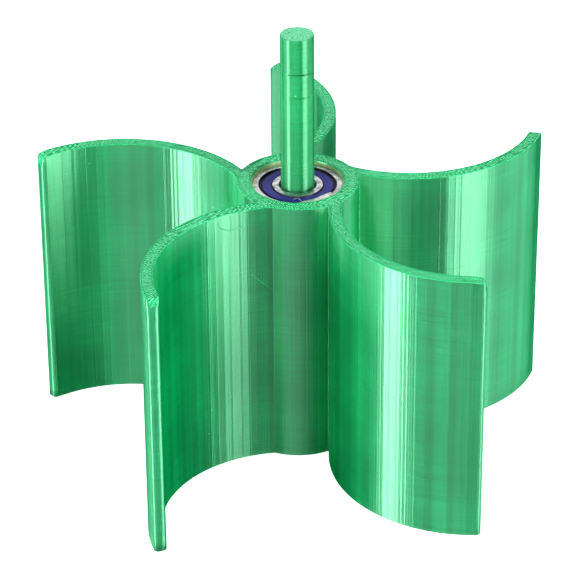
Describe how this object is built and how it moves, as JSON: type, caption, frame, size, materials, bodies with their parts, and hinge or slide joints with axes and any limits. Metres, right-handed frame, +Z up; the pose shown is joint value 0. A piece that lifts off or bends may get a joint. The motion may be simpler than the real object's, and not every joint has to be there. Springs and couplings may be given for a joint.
{
  "type": "vertical axis turbine",
  "caption": "Vertical axis rotor of curved upright blades on a hub tube, turning on sealed ball bearings about a plain round shaft that stands out above the hub.",
  "frame": {"origin": "centre of the shaft's foot, level with the underside of the hub and blades", "axes": "+Z up along the shaft, +X to the right, -Y to the front"},
  "size_m": [0.1215, 0.1185, 0.106],
  "materials": {
    "green_plastic": "silk-finish printed plastic with fine horizontal layer lines",
    "shaft_plastic": "silk-finish printed plastic with fine rings",
    "bearing_steel": "ground bearing steel, lightly scuffed faces",
    "ball_steel": "polished bearing steel",
    "cage_steel": "pressed sheet steel",
    "adhesive": "hardened clear glue, yellowish and uneven",
    "seal_rubber": "moulded indigo rubber with darker rims"
  },
  "bodies": {
    "shaft": {"shaft": "shaft_plastic", "upper_bearing_inner_ring": "bearing_steel", "lower_bearing_inner_ring": "bearing_steel"},
    "rotor": {"rotor": "green_plastic", "adhesive_ring": "adhesive", "upper_bearing_outer_ring": "bearing_steel", "upper_bearing_top_seal": "seal_rubber", "upper_bearing_bottom_seal": "seal_rubber", "lower_bearing_outer_ring": "bearing_steel", "lower_bearing_top_seal": "seal_rubber", "lower_bearing_bottom_seal": "seal_rubber"},
    "upper_cage": {"upper_bearing_cage_top_half": "cage_steel", "upper_bearing_cage_bottom_half": "cage_steel", "upper_bearing_ball_1": "ball_steel", "upper_bearing_ball_2": "ball_steel", "upper_bearing_ball_3": "ball_steel", "upper_bearing_ball_4": "ball_steel", "upper_bearing_ball_5": "ball_steel", "upper_bearing_ball_6": "ball_steel", "upper_bearing_ball_7": "ball_steel"},
    "lower_cage": {"lower_bearing_cage_top_half": "cage_steel", "lower_bearing_cage_bottom_half": "cage_steel", "lower_bearing_ball_1": "ball_steel", "lower_bearing_ball_2": "ball_steel", "lower_bearing_ball_3": "ball_steel", "lower_bearing_ball_4": "ball_steel", "lower_bearing_ball_5": "ball_steel", "lower_bearing_ball_6": "ball_steel", "lower_bearing_ball_7": "ball_steel"}
  },
  "joints": [
    {"name": "rotor_spin", "type": "hinge", "parent": "shaft", "child": "rotor", "pos_m": [0, 0, 0], "axis": [0, 0, 1], "continuous": true},
    {"name": "upper_cage_spin", "type": "hinge", "parent": "shaft", "child": "upper_cage", "pos_m": [0, 0, 0.0635], "axis": [0, 0, 1], "continuous": true},
    {"name": "lower_cage_spin", "type": "hinge", "parent": "shaft", "child": "lower_cage", "pos_m": [0, 0, 0.0045], "axis": [0, 0, 1], "continuous": true}
  ],
  "couplings": [
    {"joint": "upper_cage_spin", "follows": "rotor_spin", "ratio": 0.63056},
    {"joint": "lower_cage_spin", "follows": "rotor_spin", "ratio": 0.63056}
  ]
}
